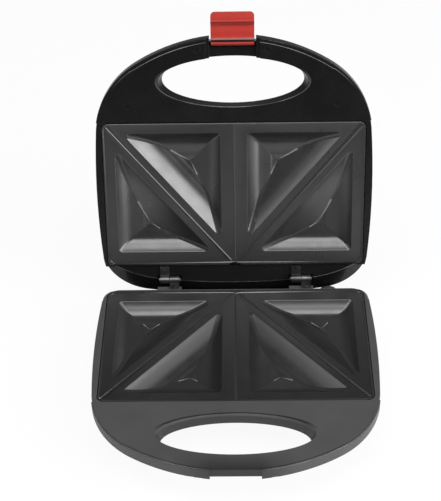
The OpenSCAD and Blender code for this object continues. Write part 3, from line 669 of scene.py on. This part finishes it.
def base_grip_shade_and_marks(s):
    """Marks on the base's grip: painted shade deep in the hand hole's wall, over the recess in front of the
    notch and in the notch where the latch hooks on, a painted highlight on the hole's edge, and darker lines
    along the outline and round the hole.
    """
    x, y, z = s.half_frame("base")
    hole = hole_reach(s, x, y)
    # Painted shade, darker deeper into the hand hole's wall
    hole_wall = (hole < 1.01) * s.spread(z, 0.002, 0.0035, to_high=0.5)
    # Painted shade over the recess in front of the notch
    recess_shade = s.spread(abs(x), 0.02, 0.05, 1.0, 0.0) * s.spread(y, 0.2, 0.2185, to_high=0.95)
    on_rim = (z < 0.002) * (y > 0.15)
    # A darker line just inside the grip's outline, on the rim
    along_outline = s.near(arc_depth(s, x, y, *GRIP_OUTLINE), wanted=0.0008, slack=0.0007)
    hinge_side = s.spread(y, HOLE_Y - 0.012, HOLE_Y - 0.004, 1.0, 0.0) * (z < 0.003)
    # A darker ring round the hand hole's edge, on the hinge side
    dark_ring = s.near(hole, wanted=1.018, slack=0.032)
    # Painted highlight on the hand hole's rounded edge, on the hinge side
    highlight_ring = s.near(hole, wanted=0.985, slack=0.012)
    # Painted shade in the notch where the latch hooks on
    notch = (abs(x) < 0.0206) * (y > 0.2188)
    return [(hole_wall, grey(0.012)),
            (recess_shade, grey(0.012)),
            (along_outline * on_rim * 0.55, grey(0.006)),
            (dark_ring * hinge_side * 0.85, grey(0.003)),
            (highlight_ring * hinge_side * highlight_patches(s) * 0.3, grey(0.2)),
            (notch * 0.9, grey(0.003))]


def latch_painted_shade(s):
    """Painted shade on the latch: the shadow under the step across it, the gap at its foot and the barrel's
    underside, darker towards its bottom.
    """
    _, y, _ = s.half_frame("lid")
    deep_red, black_red = (0.11, 0.004, 0.003), (0.02, 0.006, 0.006)
    # Painted shade under the step, in the gap at the foot and on the barrel's underside
    return [(s.near(y, wanted=0.2315, slack=0.0009) * 0.85, deep_red),
            (s.near(y, wanted=0.2182, slack=0.0010) * 0.85, black_red),
            (s.spread(y, 0.2125, 0.2165, 0.6, 0.2), deep_red)]


# ---------- Materials ----------

def moulded_plastic(name, colour, worn, rough, grain=0.06, edge=0.0005, specular=0.5, marks=None):
    """Injection-moulded plastic: spark-eroded grain, faint flow marks, and the marks given, which are mostly
    painted highlights and painted shade.
    """
    s = new_material(name)
    tint = s.clouded(s.noise(14.0, detail=4.0, roughness=0.6), colour, worn)
    for share, shade in (marks(s) if marks else ()):
        tint = s.blend(share, tint, shade)
    gloss = s.uneven(s.noise(55.0, detail=4.0, roughness=0.6), rough - 0.04, rough + 0.05)
    sparks = s.noise(2600.0, detail=2.0, roughness=0.6)
    return s.surface(color=tint, rough=gloss, specular=specular,
                     normal=s.bump(sparks, strength=grain, distance=0.0004, edge=edge))


def non_stick(name, colour, pale, rough):
    """Dark non-stick coating on cast aluminium: fine orange peel, faint patches, a painted highlight on the
    creases, and painted shade and painted highlights along the cutting lines and the lower plate's rim.
    """
    s = new_material(name)
    # Painted highlight along the pockets' creases
    painted_highlight = s.attribute("painted_highlight")
    # Painted shade where this is above 0 and a painted highlight where it is below, along the cutting lines
    # and the lower plate's rim
    shade_and_highlight = s.attribute("shade_and_highlight")
    painted_shade = s.spread(shade_and_highlight, 0.0, 1.0)
    painted_line_highlight = s.spread(shade_and_highlight, -1.0, 0.0, 1.0, 0.0)
    tint = s.clouded(s.noise(24.0, detail=5.0, roughness=0.62), colour, pale, 0.3, 0.75)
    tint = s.blend(painted_highlight * 0.75, tint, grey(0.3))
    tint = s.blend(painted_shade, tint, grey(0.0008))
    tint = s.blend(painted_line_highlight, tint, grey(0.3))
    gloss = s.uneven(s.noise(70.0, detail=4.0, roughness=0.6), rough - 0.04, rough + 0.05)
    peel = s.noise(900.0, detail=3.0, roughness=0.6)
    height = peel * 0.8 + s.speckle(1900.0) * 0.1
    return s.surface(color=tint, rough=gloss + painted_shade * 0.6, specular=0.8, coat=0.2 - painted_shade * 0.2,
                     coat_rough=0.3, normal=s.bump(height, strength=0.08, distance=0.0003, edge=0.00025))


def plain_metal(name, colour, dark, rough, stretch=(1, 1, 1)):
    """Plated or stamped metal: drawn streaks and dull spots."""
    s = new_material(name)
    streak = s.noise(420.0, detail=3.0, roughness=0.6, stretch=stretch)
    tint = s.clouded(s.noise(90.0, detail=4.0, roughness=0.6), colour, dark)
    return s.surface(color=tint, rough=s.uneven(streak, rough - 0.07, rough + 0.1), metal=1.0,
                     normal=s.bump(streak, strength=0.12, distance=0.0002, edge=0.0003))


def moulded_rubber(name):
    s = new_material(name)
    tint = s.clouded(s.noise(60.0), grey(0.012), grey(0.03))
    return s.surface(color=tint, rough=s.uneven(s.noise(300.0), 0.62, 0.8),
                     normal=s.bump(s.noise(1500.0), strength=0.1, distance=0.0004, edge=0.0004))


def fired_ceramic(name):
    s = new_material(name)
    tint = s.clouded(s.noise(120.0), (0.72, 0.69, 0.62), (0.6, 0.57, 0.5))
    return s.surface(color=tint, rough=s.uneven(s.noise(400.0), 0.45, 0.65),
                     normal=s.bump(s.noise(2000.0), strength=0.08, distance=0.0003, edge=0.0003))


def tinted_lens(name, colour, deep):
    s = new_material(name)
    tint = s.clouded(s.noise(300.0), colour, deep)
    return s.surface(color=tint, rough=s.uneven(s.noise(500.0), 0.08, 0.16), coat=0.4,
                     normal=s.bump(s.noise(900.0), strength=0.03, distance=0.0003, edge=0.0004))


def lamp_bulb(name):
    s = new_material(name)
    tint = s.clouded(s.noise(400.0), (0.85, 0.8, 0.7), (0.7, 0.62, 0.5))
    return s.surface(color=tint, rough=s.uneven(s.noise(500.0), 0.05, 0.12), transmission=0.6, ior=1.45)


base_plastic = moulded_plastic("base_plastic", (0.046, 0.046, 0.047), (0.054, 0.054, 0.055), 0.42,
                               marks=base_grip_shade_and_marks)
lid_plastic = moulded_plastic("lid_plastic", (0.0048, 0.0048, 0.0049), (0.0065, 0.0065, 0.0066), 0.26,
                              grain=0.02, edge=0.0004, specular=0.24, marks=lid_painted_highlights)
latch_plastic = moulded_plastic("latch_plastic", (0.40, 0.035, 0.025), (0.46, 0.044, 0.032), 0.34,
                                grain=0.03, marks=latch_painted_shade)
lower_coating = non_stick("lower_coating", (0.008, 0.008, 0.0082), (0.012, 0.012, 0.0123), 0.31)
upper_coating = non_stick("upper_coating", (0.012, 0.012, 0.0123), (0.017, 0.017, 0.0174), 0.30)
zinc_plate = plain_metal("zinc_plate", (0.13, 0.13, 0.134), (0.05, 0.05, 0.052), 0.4)
black_screw = plain_metal("black_screw", grey(0.03), grey(0.015), 0.4)
element_steel = plain_metal("element_steel", (0.35, 0.32, 0.29), (0.2, 0.18, 0.16), 0.5)
shield_sheet = plain_metal("shield_sheet", (0.72, 0.72, 0.73), (0.55, 0.55, 0.56), 0.3, stretch=(1, 0.08, 1))
rubber = moulded_rubber("rubber")
ceramic = fired_ceramic("ceramic")
red_lens = tinted_lens("red_lens", (0.55, 0.02, 0.015), (0.4, 0.012, 0.01))
green_lens = tinted_lens("green_lens", (0.03, 0.4, 0.07), (0.02, 0.28, 0.05))
bulb = lamp_bulb("bulb")

# Pieces made above, or the names of CAD nodes that keep their own shape
finishes = {
    base_plastic: [base_housing, base_grip],
    lid_plastic: [lid_housing, lid_grip],
    latch_plastic: [latch_look],
    lower_coating: [lower_cast],
    upper_coating: [upper_cast],
    zinc_plate: ["hinge_base_left", "hinge_base_right", "hinge_lid_left", "hinge_lid_right",
                 "hinge_pin_left", "hinge_pin_right", "hinge_base_screws", "hinge_lid_screws", "latch_pin",
                 "lower_plate_screws", "upper_plate_screws", "lower_shield_screws", "upper_shield_screws",
                 "base_grip_screws"],
    black_screw: ["lid_grip_screws"],
    element_steel: ["lower_heater", "upper_heater"],
    shield_sheet: ["lower_shield", "upper_shield"],
    rubber: ["cord_inlet", "foot_front_left", "foot_front_right", "foot_rear_left", "foot_rear_right"],
    ceramic: ["thermostat", "thermal_fuse", "terminal_block"],
    red_lens: ["power_lens"],
    green_lens: ["ready_lens"],
    bulb: ["power_lamp", "ready_lamp"],
}
for finish, dressed in finishes.items():
    for piece in dressed:
        if isinstance(piece, str):
            piece = nodes[piece]
        for slot in piece.material_slots:
            slot.material = finish


# ---------- Floor and world ----------

FLOOR_SIZE, FLOOR_Y = 14.0, 2.0
# How much of the floor's white is its own to the camera; the rest shows the object's shadow
FLOOR_WHITE = 0.93
ROOM_LIGHT = 0.09


def white_stage(name):
    """Pale floor that looks white to the camera, with the object's shadow left on it."""
    s = new_material(name)
    share = s.node("ShaderNodeLightPath")["Is Camera Ray"] * FLOOR_WHITE
    cloth = s.node("ShaderNodeBsdfDiffuse", inputs={"Color": grey(0.74)})["BSDF"]
    glow = s.node("ShaderNodeEmission", inputs={"Color": grey(1.0), "Strength": 1.0})["Emission"]
    both = s.node("ShaderNodeMixShader", inputs={0: share, 1: cloth, 2: glow})["Shader"]
    s.node("ShaderNodeOutputMaterial", inputs={"Surface": both})
    return s.owner


def studio(name):
    """White behind the object, and a dim room round it for everything else."""
    s = Shader(bpy.data.worlds.new(name))
    strength = s.spread(s.node("ShaderNodeLightPath")["Is Camera Ray"], 0.0, 1.0, ROOM_LIGHT, 1.0)
    sky = s.node("ShaderNodeBackground", inputs={"Color": grey(1.0), "Strength": strength})["Background"]
    s.node("ShaderNodeOutputWorld", inputs={"Surface": sky})
    return s.owner


bpy.ops.object.select_all(action="DESELECT")
bpy.ops.mesh.primitive_plane_add(size=FLOOR_SIZE, location=(0, FLOOR_Y, 0))
floor = bpy.context.object
floor.name = "floor"
bpy.ops.object.transform_apply(location=True, rotation=True, scale=True)
floor.data.materials.append(white_stage("white_stage"))
bpy.context.scene.world = studio("studio")


# ---------- Lamps ----------

def softbox(name, at, aim, size, power):
    """A rectangular lamp, with its size in metres and its power in watts."""
    lamp = bpy.data.lights.new(name, "AREA")
    lamp.shape = "RECTANGLE"
    lamp.size, lamp.size_y = size
    lamp.energy = power
    box = bpy.data.objects.new(name, lamp)
    bpy.context.scene.collection.objects.link(box)
    box.location = at
    box.rotation_euler = (Vector(aim) - Vector(at)).to_track_quat("-Z", "Y").to_euler()


softbox("key_box", (1.2, -0.67, 0.95), (0, 0, 0.15), (0.9, 0.9), 22.0)
softbox("top_box", (-0.05, -0.5, 1.55), (0, 0, 0.1), (1.2, 1.0), 21.0)
softbox("left_box", (-1.15, -0.3, 1.1), (0, 0, 0.1), (0.8, 1.2), 6.0)
softbox("right_box", (1.0, 0.1, 1.15), (0, 0, 0.1), (0.7, 0.7), 2.5)
softbox("low_box", (1.35, -0.72, 0.14), (0, 0.1, 0.15), (0.6, 0.24), 4.5)


# ---------- Camera ----------

# It stands in front of the base's grip and looks down on the open plates
CAMERA_AT = Vector((0.007714, -0.824958, 0.85065))
YAW, DROP, ROLL = math.radians(-1.306), math.radians(40.89), math.radians(-1.388)
FOCAL_PIXELS, IMAGE_HEIGHT, SENSOR = 1342.99, 501, 36


def camera_axes():
    """The camera's right, up and backward directions, as the columns of a matrix."""
    ahead = Vector((math.sin(YAW) * math.cos(DROP), math.cos(YAW) * math.cos(DROP), -math.sin(DROP)))
    right = Vector((math.cos(YAW), -math.sin(YAW), 0))
    up = right.cross(ahead)
    tilted_right = math.cos(ROLL) * right + math.sin(ROLL) * up
    tilted_up = -math.sin(ROLL) * right + math.cos(ROLL) * up
    return Matrix((tilted_right, tilted_up, -ahead)).transposed()


camera_data = bpy.data.cameras.new("camera")
camera_data.lens = FOCAL_PIXELS * SENSOR / IMAGE_HEIGHT
camera_data.sensor_width = SENSOR
camera_data.clip_start = 0.05
camera = bpy.data.objects.new("camera", camera_data)
bpy.context.scene.collection.objects.link(camera)
camera.matrix_world = Matrix.Translation(CAMERA_AT) @ camera_axes().to_4x4()
bpy.context.scene.camera = camera
bpy.context.scene.view_settings.view_transform = "Standard"
